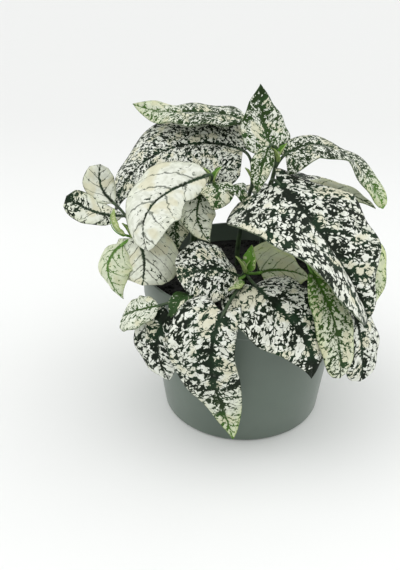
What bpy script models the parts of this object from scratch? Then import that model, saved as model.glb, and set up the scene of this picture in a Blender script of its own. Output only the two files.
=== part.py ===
"""A polka dot plant with white-splashed leaves in a round nursery pot.

The pot and the soil are turned shapes. Each leafy stem is one body: its stem, petioles, leaves and
growing tip are built one by one along curves through hand-measured points and then united.
Lengths in the tables are millimetres, angles are degrees. X is to the right, Y away, Z up.
"""

import math
import random

import bmesh
import bpy
from mathutils import Matrix, Vector

MM = 0.001

# Pot, as measured on a 10.5 cm nursery pot.
RIM_RADIUS = 52.5
POT_HEIGHT = 83.0
COLLAR_HEIGHT = 15.0
COLLAR_STEP = 1.4
BASE_RADIUS = 42.4
WALL = 1.3
FOOT_FILLET = 2.0
FLOOR_THICKNESS = 2.0
DRAIN_HOLES = 6
DRAIN_RADIUS = 4.0
DRAIN_CIRCLE = 24.0
POT_SIDES = 40

# Soil, which fills the pot to a finger's width under the rim.
SOIL_TOP = 73.0
SOIL_CROWN = 0.8
STEM_FOOT = 60.0
STEM_STRAIGHT = 78.0
GAP = 0.3

# Stems, petioles and blades. The wave height is a share of a blade's width, the petiole's bend a share
# of its length, and a node's place a share of the stem's length.
STEM_RADIUS = 1.5
STEM_TIP_RADIUS = 1.0
PETIOLE_RADIUS = 0.75
BLADE_THICKNESS = 0.8
EDGE_WAVES = 3.0
WAVE_HEIGHT = 0.03
PETIOLE_BEND = 0.4
HIGHEST_NODE = 0.97
NODE_STEP = 0.014
BUD_LENGTH = 10.0
BUD_WIDTH = 6.5
WAVE_SEED = 11


def leaf(midrib, width, roll=(0,), fold=(8,), curl=-30, base=0.6, tip=1.05, lobe=0.0, skew=(0,),
         heading=None, node=1.0):
    """One leaf.

    midrib: points from the petiole to the tip. width: full width of the flattened blade.
    roll: turn about the midrib, from base to tip, that lifts the right-hand edge.
    fold: rise of each half at the midrib. curl: change of that angle out to the edge.
    base, tip: exponents of the outline. lobe: how far the base corners reach back.
    skew: how much wider the right half is, from base to tip. heading: compass direction of the
    leaf, clockwise from +Y, where it hangs too steeply to tell. node: where on the stem the
    petiole starts.
    """
    return dict(midrib=midrib, width=width, roll=roll, fold=fold, curl=curl, base=base, tip=tip,
                lobe=lobe, skew=skew, heading=heading, node=node)


# Each shoot has the points of its stem, from the foot in the soil to the growing tip, and its leaves.
SHOOTS = {
    "shoot_top": dict(
        stem=[(8, 4, 60), (8, 4, 84), (10, 3, 112), (14, 0, 138)],
        leaves=[
            leaf([(13, 3, 140), (8, 10, 150), (5, 15, 171)], 27, fold=(12,), curl=-20, base=0.45,
                 skew=(-0.08,), node=0.95),
            leaf([(18, 1, 141), (37, 9, 143), (53, 10, 134), (68, 4, 113)], 23,
                 roll=(-50, -8, 0, -25, -45), fold=(12,), curl=-25, base=0.3, tip=0.5, lobe=0.7,
                 skew=(0.5, 0.0, 0.0), node=0.95),
            leaf([(10, -4, 146), (7, -8, 138), (5, -13, 126)], 12, fold=(20,), curl=-20, node=0.97),
            leaf([(14, -10, 131), (30, -30, 120), (43, -42, 105), (58, -44, 77)], 54,
                 roll=(-30, -14, -2, 0), fold=(-8, 14, 32, 36), curl=-25, base=0.36, tip=0.7,
                 lobe=0.42, skew=(0.62, 0.0, 0.0, 0.3), node=0.8),
            leaf([(27, 12, 121), (48, 10, 119), (64, 2, 114)], 15, roll=(-10,), fold=(12,), curl=-20,
                 node=0.7),
        ],
    ),
    "shoot_back_left": dict(
        stem=[(-4, 16, 60), (-4, 16, 84), (0, 14, 110), (3, 12, 122)],
        leaves=[
            leaf([(-1, 22, 150), (-17, 28, 153), (-40, 32, 152), (-60, 32, 156)], 28,
                 roll=(8, 6, 10, 50), fold=(10,), tip=0.95, node=0.98),
            leaf([(-3, 18, 137), (-24, 22, 139), (-49, 16, 133), (-67, 3, 106)], 51, roll=(34, 16),
                 base=0.4, lobe=0.35, skew=(-0.25, -0.01, -0.03, 0.0, 0.0), node=0.95),
        ],
    ),
    "shoot_mid_left": dict(
        stem=[(-27, 2, 60), (-28, 2, 84), (-26, 2, 103), (-17, -1, 126)],
        leaves=[
            leaf([(-19, -6, 132), (-35, -16, 128), (-46, -30, 121), (-45, -38, 106)], 33,
                 roll=(35, 10, -10), curl=-35, base=0.5, tip=0.5, skew=(0.35, 0.38, -0.1, -0.1),
                 node=0.95),
            leaf([(-21, -4, 124), (-24, -11, 114), (-17, -20, 103)], 21, roll=(20,), fold=(8,),
                 curl=-20, node=0.9),
            leaf([(-30, -5, 118), (-34, -12, 108), (-33, -18, 97)], 18, fold=(10,), curl=-20,
                 node=0.8),
            leaf([(-17, -6, 128), (-14, -12, 126), (-16, -16, 118)], 17, fold=(8,), curl=-20),
            leaf([(-11, -5, 124), (-5, -8, 127), (-1, -11, 119)], 13, fold=(8,), curl=-20),
        ],
    ),
    "shoot_left": dict(
        stem=[(-32, 10, 60), (-34, 8, 84), (-45, -6, 97), (-55, -20, 104)],
        leaves=[
            leaf([(-51, -24, 106), (-48, -31, 99), (-48, -38, 88)], 36, fold=(-10,), base=0.4,
                 tip=0.42, lobe=0.5, node=0.97, heading=185),
            leaf([(-59, -25, 103), (-65, -30, 96), (-58, -36, 79)], 29, fold=(-10,), curl=-40,
                 heading=215),
            leaf([(-60, -14, 113), (-73, -13, 114), (-88, -10, 121)], 15, roll=(35, 35, 70),
                 fold=(10,), curl=-40, tip=0.32),
            leaf([(-66, -5, 116), (-73, 0, 123), (-73, 3, 133)], 18, fold=(15,), curl=-40, tip=0.45),
            leaf([(-58, -21, 106), (-63, -24, 112), (-62, -24, 121)], 9, fold=(20,), curl=-5),
        ],
    ),
    "shoot_centre": dict(
        stem=[(0, -22, 60), (0, -22, 78), (0, -28, 92)],
        leaves=[
            leaf([(-3, -33, 92), (-17, -39, 98), (-31, -42, 95)], 33, roll=(24, 36, 40), fold=(4,),
                 curl=-25, base=0.5, tip=0.45, node=0.97),
            leaf([(5, -36, 89), (18, -54, 85), (28, -61, 75), (32, -65, 57)], 43, roll=(-4, -14, -4),
                 fold=(0,), curl=-16, base=0.45, tip=1.0, lobe=0.5, node=0.97),
            leaf([(8, -23, 89), (18, -20, 89), (32, -18, 84)], 42, roll=(-20,), fold=(5,), curl=-20,
                 base=0.3, node=0.97),
            leaf([(-9, -59, 86), (-13, -67, 77), (-13, -68, 59), (-3, -64, 19)], 31, fold=(6,),
                 base=0.3, tip=0.85, lobe=0.6, skew=(0.35, 0.3, -0.05, -0.4), heading=180, node=0.8),
            leaf([(2, -29, 93), (3, -29, 98), (3, -28, 106)], 9, fold=(20,), curl=-5),
            leaf([(-2, -34, 91), (-7, -38, 90), (-12, -43, 88)], 17, fold=(15,), curl=-5),
        ],
    ),
    "shoot_front_left": dict(
        stem=[(-18, -28, 60), (-18, -28, 78), (-21, -36, 89)],
        leaves=[
            leaf([(-34, -51, 80), (-39, -55, 72), (-39, -57, 62), (-34, -58, 48)], 26, base=0.5,
                 tip=0.8, lobe=0.3, heading=200),
            leaf([(-39, -50, 84), (-49, -50, 81), (-57, -45, 75)], 20, roll=(24,), base=0.5,
                 tip=0.35),
            leaf([(-25, -44, 87), (-30, -50, 86), (-33, -54, 80)], 10, fold=(15,), curl=-5),
        ],
    ),
    "shoot_right": dict(
        stem=[(34, -6, 60), (34, -6, 84), (36, -14, 100)],
        leaves=[
            leaf([(31, -36, 97), (40, -51, 84), (46, -58, 53)], 21, tip=0.5),
            leaf([(47, -36, 86), (55, -46, 69), (57, -50, 46)], 24, tip=0.45, node=0.9),
            leaf([(48, -4, 106), (56, -12, 99), (61, -24, 66)], 28),
            leaf([(30, -24, 102), (40, -36, 98), (48, -45, 87)], 16),
        ],
    ),
    "shoot_rear_right": dict(
        stem=[(16, 30, 60), (16, 30, 84), (20, 34, 112)],
        leaves=[
            leaf([(24, 40, 112), (34, 58, 110), (44, 76, 90)], 34, node=0.97),
            leaf([(14, 42, 105), (13, 58, 104), (12, 78, 84)], 30, node=0.9),
            leaf([(30, 34, 106), (46, 43, 104), (56, 51, 82)], 30, node=0.97),
            leaf([(33, 24, 95), (46, 27, 95), (57, 29, 72)], 26, node=0.7),
            leaf([(22, 42, 94), (29, 54, 94), (36, 66, 72)], 26, node=0.7),
        ],
    ),
    "shoot_rear_left": dict(
        stem=[(-28, 30, 60), (-28, 30, 84), (-33, 34, 110)],
        leaves=[
            leaf([(-38, 42, 110), (-46, 55, 109), (-54, 68, 88)], 30, node=0.97),
            leaf([(-32, 44, 102), (-30, 60, 101), (-30, 76, 81)], 28, node=0.9),
            leaf([(-43, 35, 99), (-55, 38, 97), (-65, 41, 78)], 28, node=0.97),
            leaf([(-39, 34, 88), (-51, 42, 85), (-59, 50, 60)], 24, node=0.7),
            leaf([(-28, 43, 87), (-32, 56, 86), (-37, 66, 60)], 24, node=0.6),
        ],
    ),
}


def clear_scene():
    for old in list(bpy.data.objects):
        bpy.data.objects.remove(old)


def new_collection(name):
    collection = bpy.data.collections.new(name)
    bpy.context.scene.collection.children.link(collection)
    return collection


def new_object(name, data, collection):
    obj = bpy.data.objects.new(name, data)
    collection.objects.link(obj)
    return obj


def material(name, colour, roughness):
    mat = bpy.data.materials.new(name)
    mat.use_nodes = True
    shader = mat.node_tree.nodes["Principled BSDF"]
    shader.inputs["Base Color"].default_value = (*colour, 1.0)
    shader.inputs["Roughness"].default_value = roughness
    shader.inputs["Metallic"].default_value = 0.0
    return mat


def mixed(values, share):
    """The value at this share of the way along an evenly spaced list."""
    place = share * (len(values) - 1)
    low = min(int(place), max(len(values) - 2, 0))
    high = min(low + 1, len(values) - 1)
    return values[low] + (values[high] - values[low]) * (place - low)


class Path:
    """The smooth curve through a few points, read by the share of its length."""

    SAMPLES = 120

    def __init__(self, points):
        self.points = [Vector(p) for p in points]
        reach = [0.0]
        for before, after in zip(self.points, self.points[1:]):
            reach.append(reach[-1] + (after - before).length)
        self.knots = [r / reach[-1] for r in reach]
        self.fine = [self.raw(i / self.SAMPLES) for i in range(self.SAMPLES + 1)]
        self.arc = [0.0]
        for before, after in zip(self.fine, self.fine[1:]):
            self.arc.append(self.arc[-1] + (after - before).length)
        self.length = self.arc[-1]

    def raw(self, knot):
        """The polynomial through the points, at a knot value from 0 to 1."""
        total = Vector((0, 0, 0))
        for i, point in enumerate(self.points):
            weight = 1.0
            for j, other in enumerate(self.knots):
                if j != i:
                    weight *= (knot - other) / (self.knots[i] - other)
            total += point * weight
        return total

    def at(self, share):
        wanted = share * self.length
        i = 0
        while i < self.SAMPLES - 1 and self.arc[i + 1] < wanted:
            i += 1
        span = self.arc[i + 1] - self.arc[i]
        return self.fine[i].lerp(self.fine[i + 1], (wanted - self.arc[i]) / span)

    def tangent(self, share):
        before = self.at(max(share - 0.01, 0.0))
        after = self.at(min(share + 0.01, 1.0))
        return (after - before).normalized()


def half_width(share, row):
    """Half the blade's width at this share of its length, for an ovate outline with a point."""
    peak = row["base"] / (row["base"] + row["tip"])
    tallest = peak ** row["base"] * (1 - peak) ** row["tip"]
    here = share ** row["base"] * (1 - share) ** row["tip"]
    return row["width"] / 2 * here / tallest


def blade_point(row, path, side, share, across, phase):
    """The place on a blade at a share of its length, and -1 to 1 across it."""
    along = path.tangent(share)
    right = (side - along * side.dot(along)).normalized()
    up = right.cross(along)
    roll = math.radians(mixed(row["roll"], share))
    right = right * math.cos(roll) + up * math.sin(roll)
    up = right.cross(along)
    fold = math.radians(mixed(row["fold"], share))
    curl = math.radians(row["curl"])
    out = abs(across)
    hand = math.copysign(1, across)
    half = half_width(share, row)
    edge = half * (1 + mixed(row["skew"], share) * hand)
    level = (math.sin(fold + curl * out) - math.sin(fold)) / curl * hand
    lift = (math.cos(fold) - math.cos(fold + curl * out)) / curl
    fade = min(1.0, half / (row["width"] / 4))
    wave = row["width"] * WAVE_HEIGHT * out ** 2 * fade
    ripple = wave * math.sin(2 * math.pi * EDGE_WAVES * share + phase + hand)
    back = row["lobe"] * row["width"] / 2 * out ** 1.5 * (1 - share) ** 4 * fade
    return path.at(share) + right * level * edge + up * (lift * edge + ripple) - along * back


def blade_side(row):
    """The level direction to the leaf's right, seen from its base."""
    if row["heading"] is None:
        ahead = Vector(row["midrib"][-1]) - Vector(row["midrib"][0])
    else:
        turn = math.radians(row["heading"])
        ahead = Vector((math.sin(turn), math.cos(turn), 0))
    return Vector((ahead.y, -ahead.x, 0)).normalized()


def add_blade(name, row, collection, phase):
    """A thin leaf blade, its grid bent along the midrib and cut into the same triangles both sides."""
    path = Path(row["midrib"])
    side = blade_side(row)
    along = 8 if path.length > 50 else 6 if path.length > 20 else 4
    wide = 4 if row["width"] > 13 else 2
    bm = bmesh.new()
    bmesh.ops.create_grid(bm, x_segments=wide, y_segments=along, size=1.0)
    for vert in bm.verts:
        share = (vert.co.y + 1) / 2
        vert.co = blade_point(row, path, side, share, vert.co.x, phase) * MM
    bmesh.ops.remove_doubles(bm, verts=bm.verts[:], dist=0.02 * MM)
    bmesh.ops.triangulate(bm, faces=bm.faces[:])
    mesh = bpy.data.meshes.new(name)
    bm.to_mesh(mesh)
    bm.free()
    obj = new_object(name, mesh, collection)
    shell = obj.modifiers.new("thickness", "SOLIDIFY")
    shell.thickness = BLADE_THICKNESS * MM
    shell.offset = 0.0
    return obj


def add_tube(name, points, radii, collection, resolution):
    """A closed round tube through the points, as a mesh with welded caps."""
    curve = bpy.data.curves.new(name, "CURVE")
    curve.dimensions = "3D"
    curve.bevel_depth = MM
    curve.bevel_resolution = resolution
    curve.use_fill_caps = True
    spline = curve.splines.new("POLY")
    spline.points.add(len(points) - 1)
    for spot, place, radius in zip(spline.points, points, radii):
        spot.co = (*(place * MM), 1.0)
        spot.radius = radius
    guide = new_object(name + "_curve", curve, collection)
    view = bpy.context.evaluated_depsgraph_get()
    mesh = bpy.data.meshes.new_from_object(guide.evaluated_get(view))
    bm = bmesh.new()
    bm.from_mesh(mesh)
    bmesh.ops.remove_doubles(bm, verts=bm.verts[:], dist=0.01 * MM)
    bm.to_mesh(mesh)
    bm.free()
    tube = new_object(name, mesh, collection)
    tube.matrix_world = guide.matrix_world
    bpy.data.objects.remove(guide)
    return tube


def petiole_points(row, start):
    """A stalk from the stem that runs into the leaf along its midrib."""
    path = Path(row["midrib"])
    base = path.at(0.0)
    along = path.tangent(0.0)
    bend = base - along * (base - start).length * PETIOLE_BEND
    sunk = path.at(min(0.12, 3.0 / path.length))
    points = []
    for i in range(4):
        t = i / 3
        points.append(start * (1 - t) ** 2 + bend * 2 * t * (1 - t) + base * t ** 2)
    points.append(sunk)
    return points


def bud_rows(path):
    """The pair of small upright leaves at a growing tip."""
    top = path.at(1.0)
    rows = []
    for hand in (-1, 1):
        lean = Vector((hand * 0.35, 0.12 * hand, 1.0)).normalized()
        base = top - Vector((0, 0, 1))
        points = [base, base + lean * BUD_LENGTH * 0.5, base + lean * BUD_LENGTH + Vector((hand, 0, 0))]
        rows.append(leaf(points, BUD_WIDTH, fold=(30,), curl=-5))
    return rows


def unite(body, parts):
    """Joins everything in a collection to the body and removes the collection's objects."""
    union = body.modifiers.new("union", "BOOLEAN")
    union.operation = "UNION"
    union.operand_type = "COLLECTION"
    union.collection = parts
    union.solver = "MANIFOLD"
    bpy.context.view_layer.update()
    view = bpy.context.evaluated_depsgraph_get()
    mesh = bpy.data.meshes.new_from_object(body.evaluated_get(view))
    body.modifiers.clear()
    body.data = mesh
    for used in list(parts.objects):
        bpy.data.objects.remove(used)
    bpy.data.collections.remove(parts)


def petiole_start(path, node, order):
    """A place inside the stem, a little lower for each next leaf."""
    return path.at(min(node, HIGHEST_NODE) - NODE_STEP * order)


def add_shoot(name, shoot, collection, green, draws):
    path = Path(shoot["stem"])
    steps = 8
    points = [path.at(i / steps) for i in range(steps + 1)]
    foot = points[0]
    for point in points:
        if point.z < STEM_STRAIGHT:
            point.x = foot.x
            point.y = foot.y
    radii = [STEM_RADIUS + (STEM_TIP_RADIUS - STEM_RADIUS) * i / steps for i in range(steps + 1)]
    stem = add_tube(name, points, radii, collection, 2)
    parts = new_collection(name + "_parts")
    for i, row in enumerate(shoot["leaves"] + bud_rows(path)):
        add_blade(f"{name}_blade_{i}", row, parts, draws.uniform(0, 2 * math.pi))
        if i < len(shoot["leaves"]):
            stalk = petiole_points(row, petiole_start(path, row["node"], i))
            add_tube(f"{name}_petiole_{i}", stalk, [PETIOLE_RADIUS] * len(stalk), parts, 1)
    unite(stem, parts)
    stem.data.materials.clear()
    stem.data.materials.append(green)
    stem.data.shade_smooth()
    stem.data.set_sharp_from_angle(angle=math.radians(40))
    return stem


def add_turned(name, profile, sides, collection, finish):
    """A body of revolution from (radius, height) points that run down its outer side."""
    mesh = bpy.data.meshes.new(name)
    verts = [(radius * MM, 0.0, height * MM) for radius, height in profile]
    mesh.from_pydata(verts, [(i, i + 1) for i in range(len(verts) - 1)], [])
    obj = new_object(name, mesh, collection)
    turn = obj.modifiers.new("turn", "SCREW")
    turn.steps = sides
    turn.render_steps = sides
    turn.use_merge_vertices = True
    turn.merge_threshold = 0.00001
    obj.data.materials.append(finish)
    return obj


def add_cutters(name, spots, radius, low, high, sides):
    """Upright round cutters at the (x, y) spots, in a collection of their own."""
    cutters = new_collection(name)
    for i, (x, y) in enumerate(spots):
        bm = bmesh.new()
        bmesh.ops.create_cone(bm, cap_ends=True, segments=sides, radius1=radius * MM,
                              radius2=radius * MM, depth=(high - low) * MM)
        bmesh.ops.transform(bm, matrix=Matrix.Translation((0, 0, (high + low) / 2 * MM)), verts=bm.verts)
        mesh = bpy.data.meshes.new(f"{name}_{i}")
        bm.to_mesh(mesh)
        bm.free()
        cutter = new_object(f"{name}_{i}", mesh, cutters)
        cutter.location = (x * MM, y * MM, 0)
        cutter.hide_render = True
        cutter.display_type = "WIRE"
    return cutters


def cut(body, cutters):
    holes = body.modifiers.new("holes", "BOOLEAN")
    holes.operation = "DIFFERENCE"
    holes.operand_type = "COLLECTION"
    holes.collection = cutters


def outer_radius(height):
    """The pot's outer radius under the collar."""
    under_collar = POT_HEIGHT - COLLAR_HEIGHT
    return BASE_RADIUS + (RIM_RADIUS - COLLAR_STEP - BASE_RADIUS) * height / under_collar


def pot_inside():
    """The pot's inner profile, from the middle of the floor up to the rim."""
    under_collar = POT_HEIGHT - COLLAR_HEIGHT
    floor = FLOOR_THICKNESS
    return [
        (0, floor),
        (outer_radius(floor) - WALL - FOOT_FILLET, floor),
        (outer_radius(floor + FOOT_FILLET) - WALL, floor + FOOT_FILLET),
        (outer_radius(under_collar) - WALL, under_collar),
        (RIM_RADIUS - WALL, under_collar + COLLAR_STEP),
        (RIM_RADIUS - WALL, POT_HEIGHT - WALL / 2),
    ]


def add_pot(collection):
    under_collar = POT_HEIGHT - COLLAR_HEIGHT
    lip = [(RIM_RADIUS - WALL / 2 - WALL / 2 * math.cos(a), POT_HEIGHT - WALL / 2 * (1 - math.sin(a)))
           for a in (math.pi / 4, math.pi / 2, 3 * math.pi / 4)]
    collar = [
        (RIM_RADIUS, POT_HEIGHT - WALL / 2),
        (RIM_RADIUS, under_collar + 0.8),
        (RIM_RADIUS - 0.5, under_collar),
        (outer_radius(under_collar), under_collar - 0.4),
    ]
    fillet = []
    for i in range(4):
        a = i / 3 * math.pi / 2
        fillet.append((outer_radius(FOOT_FILLET) - FOOT_FILLET * (1 - math.cos(a)),
                       FOOT_FILLET * (1 - math.sin(a))))
    grey = material("pot_plastic", (0.135, 0.165, 0.150), 0.55)
    pot = add_turned("pot", pot_inside() + lip + collar + fillet + [(0, 0)], POT_SIDES, collection, grey)
    turns = [2 * math.pi * (i + 0.5) / DRAIN_HOLES for i in range(DRAIN_HOLES)]
    spots = [(DRAIN_CIRCLE * math.cos(a), DRAIN_CIRCLE * math.sin(a)) for a in turns]
    cut(pot, add_cutters("drain_cutters", spots, DRAIN_RADIUS, -5, 10, 12))
    return pot


def add_soil(collection):
    inside = pot_inside()
    wall = [(r - GAP, h) for r, h in reversed(inside) if 0 < r and h < SOIL_TOP]
    wall[-1] = (wall[-1][0], inside[0][1] + GAP)
    top = [(0, SOIL_TOP + SOIL_CROWN), (20, SOIL_TOP + SOIL_CROWN * 0.85),
           (38, SOIL_TOP + SOIL_CROWN * 0.3), (RIM_RADIUS - WALL - GAP, SOIL_TOP - SOIL_CROWN)]
    brown = material("potting_soil", (0.022, 0.016, 0.012), 0.95)
    profile = top + wall + [(0, inside[0][1] + GAP)]
    soil = add_turned("soil", profile, POT_SIDES, collection, brown)
    feet = [shoot["stem"][0][:2] for shoot in SHOOTS.values()]
    holes = add_cutters("stem_holes", feet, STEM_RADIUS + GAP, STEM_FOOT - GAP, SOIL_TOP + 5, 12)
    cut(soil, holes)
    return soil


def main():
    clear_scene()
    plant = new_collection("potted_polka_dot_plant")
    add_pot(plant)
    add_soil(plant)
    draws = random.Random(WAVE_SEED)
    green = material("splashed_leaf", (0.42, 0.48, 0.40), 0.45)
    for name, shoot in SHOOTS.items():
        add_shoot(name, shoot, plant, green, draws)


main()
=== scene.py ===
"""The looks of a potted polka dot plant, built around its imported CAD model.

Lengths in the leaf table are millimetres and angles are degrees. X is to the right, Y away, Z up.
"""

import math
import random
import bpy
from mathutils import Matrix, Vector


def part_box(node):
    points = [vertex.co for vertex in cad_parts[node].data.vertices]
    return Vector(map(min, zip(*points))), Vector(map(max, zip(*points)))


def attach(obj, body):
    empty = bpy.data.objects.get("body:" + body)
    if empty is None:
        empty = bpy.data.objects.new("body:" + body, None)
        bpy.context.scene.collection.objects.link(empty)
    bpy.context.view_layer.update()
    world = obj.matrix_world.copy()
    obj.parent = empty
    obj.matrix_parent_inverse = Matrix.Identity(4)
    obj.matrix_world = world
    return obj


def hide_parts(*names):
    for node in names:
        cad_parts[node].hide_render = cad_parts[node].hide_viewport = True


bl_info = {
    "name": "Potted Polka Dot Plant",
    "version": (1, 0, 0),
    "blender": (4, 5, 0),
    "location": "3D Viewport > Sidebar > Plant",
    "description": "A white-splashed polka dot plant in a nursery pot, on a pale floor",
    "category": "Object",
}

import bmesh
import bpy
from bpy.props import FloatProperty, FloatVectorProperty, IntProperty, PointerProperty
from mathutils import Matrix, Vector

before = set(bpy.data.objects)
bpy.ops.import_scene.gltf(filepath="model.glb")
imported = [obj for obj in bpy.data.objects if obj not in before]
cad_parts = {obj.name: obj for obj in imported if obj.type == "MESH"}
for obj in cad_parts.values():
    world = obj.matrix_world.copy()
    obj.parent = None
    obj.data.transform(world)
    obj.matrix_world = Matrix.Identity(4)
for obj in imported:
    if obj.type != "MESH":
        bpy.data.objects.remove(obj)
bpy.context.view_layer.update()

MM = 0.001
POT_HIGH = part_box("pot")[1]
SOIL_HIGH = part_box("soil")[1]

# Points closer than this are one.
MERGE = 0.01 * MM

# The pot, in metres.
FLOOR_THICKNESS = 0.002
FOOT_FILLET = 0.002
COLLAR_EDGE = 0.0012
POT_SIDES = 144
LIP_STEPS = 8
FOOT_STEPS = 6
SHARP_EDGE = math.radians(50)
DRAIN_HOLES = 6
DRAIN_RADIUS = 0.004
DRAIN_CIRCLE = 0.024
CUTTER_HEIGHT = 0.02

# The crumbs, in metres. They keep CRUMB_MARGIN inside the wall and lie CRUMB_DEPTH under the soil's
# crown. Their sizes are shares of the mean radius, and their roughness is a share of their own.
SOIL_SEED = 5
SOIL_CROWN = 0.0008
CRUMB_MARGIN = 0.003
CRUMB_DEPTH = 0.001
CRUMB_SIZES = (0.5, 0.7, 0.9, 1.2, 1.6)
CRUMB_ROUGHNESS = 0.25

# Stems, petioles and blades, in millimetres, as in the solids. The wave height is a share of a
# blade's width, the petiole's bend a share of its length, and a node's place a share of the stem's
# length. The seed gives the start of each blade's waves.
WAVE_SEED = 11
EDGE_WAVES = 3.0
WAVE_HEIGHT = 0.03
STEM_STRAIGHT = 78.0
PETIOLE_BEND = 0.4
HIGHEST_NODE = 0.97
NODE_STEP = 0.014
BUD_LENGTH = 10.0
BUD_WIDTH = 6.5

# Side veins leave the midrib at 53 degrees: they run VEIN_OUTWARD out for VEIN_FORWARD along it,
# which is VEIN_SLOPE, and arc forward by VEIN_ARC. A blade has about VEIN_PAIRS of them, from
# CLOSEST_VEINS to WIDEST_VEINS apart, and those on the right start about half a spacing later.
VEIN_OUTWARD = 0.8
VEIN_FORWARD = 0.6
VEIN_SLOPE = 0.75
VEIN_ARC = 0.012
VEIN_OFFSET = 0.45
VEIN_PAIRS = 4.5
CLOSEST_VEINS = 4.5
WIDEST_VEINS = 12.0

# The blade's faces and relief, in millimetres. A blade shorter than FULL_QUILTING bulges less, and
# a FIELD_SHAPE under 1 makes the fields between the veins fuller.
FACE_SIZE = 1.5
FULL_QUILTING = 40
FIELD_SHAPE = 0.7
GROOVE_WIDTH = 1.3
GROOVE_DEPTH = 0.8

# Stalks, in millimetres. The midrib's tube lies RIB_DEPTH under the blade and ends at RIB_END of
# its length. A leaf as wide as FULL_STALK_WIDTH has a stalk of full thickness, and one that glows
# more than YOUNG_GLOW at its base has a fresh green one.
STEM_STEPS = 40
STALK_STEPS = 16
RIB_STEPS = 24
RIB_END = 0.92
RIB_DEPTH = 0.8
FULL_STALK_WIDTH = 16
YOUNG_GLOW = 0.4
TUBE_ROUNDNESS = 3

# Where each finish stands in the list that leaves and stems share.
UNDERSIDE_SLOT = 1
STEM_SLOT = 2
YOUNG_STEM_SLOT = 3

# The scale of the blotches' pattern, the share of it that is left along the side veins, which draws
# them out, and how far apart two blades and the two halves of a blade lie in it.
BLOTCH_SCALE = 0.70
BLOTCH_STRETCH = 0.8
BLADE_STEP = 41.0
HALF_STEP = 7

# Colours that the settings leave out. LIT_GREEN is painted light: the dark green made lighter where
# a leaf would be lit.
LIT_GREEN = (0.0085, 0.0270, 0.0100)
GREY_CREAM = (0.49, 0.51, 0.42)
YELLOW_CREAM = (0.60, 0.57, 0.38)
YOUNG_CREAM = (0.36, 0.44, 0.20)
FRINGE = (0.13, 0.17, 0.11)
WARM_FRINGE = (0.18, 0.25, 0.08)
UNDERSIDE = (0.30, 0.37, 0.24)
YOUNG_UNDERSIDE = (0.52, 0.58, 0.26)
DARK_STEM = (0.016, 0.034, 0.014)
LIGHT_STEM = (0.045, 0.085, 0.028)
DUST = (0.30, 0.30, 0.28)
BARK = (0.014, 0.010, 0.007)

# Each lamp's direction, strength and width in radians.
LAMPS = {
    "key_light": ((-0.2, -0.35, 1.0), 0.91, 1.3),
    "left_light": ((-1.0, 0.15, 0.35), 0.75, 0.8),
    "right_light": ((1.0, 0.3, 0.35), 1.18, 1.5),
}
SENSOR_WIDTH = 36.0
CLIP_START = 0.01


def leaf(midrib, width, roll=(0,), fold=(8,), curl=-30, base=0.6, tip=1.05, lobe=0.0, skew=(0,),
         heading=None, node=1.0, white=(0.52,), glow=(0.0,), warm=(0.08,), grain=1.0):
    """One leaf.

    midrib: points from the petiole to the tip. width: full width of the flattened blade.
    roll: turn about the midrib, from base to tip, that lifts the right-hand edge.
    fold: rise of each half at the midrib. curl: change of that angle out to the edge.
    base, tip: exponents of the outline. lobe: how far the base corners reach back.
    skew: how much wider the right half is. heading: compass direction of the leaf, clockwise
    from +Y, where it hangs too steeply to tell. node: where on the stem the petiole starts.
    white: share of the blade that is splashed, from base to tip. glow: how light its green is.
    warm: how yellow its white is. grain: how much finer than usual its blotches are.
    """
    return dict(midrib=midrib, width=width, roll=roll, fold=fold, curl=curl, base=base, tip=tip,
                lobe=lobe, skew=skew, heading=heading, node=node, white=white, glow=glow, warm=warm,
                grain=grain)


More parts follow.
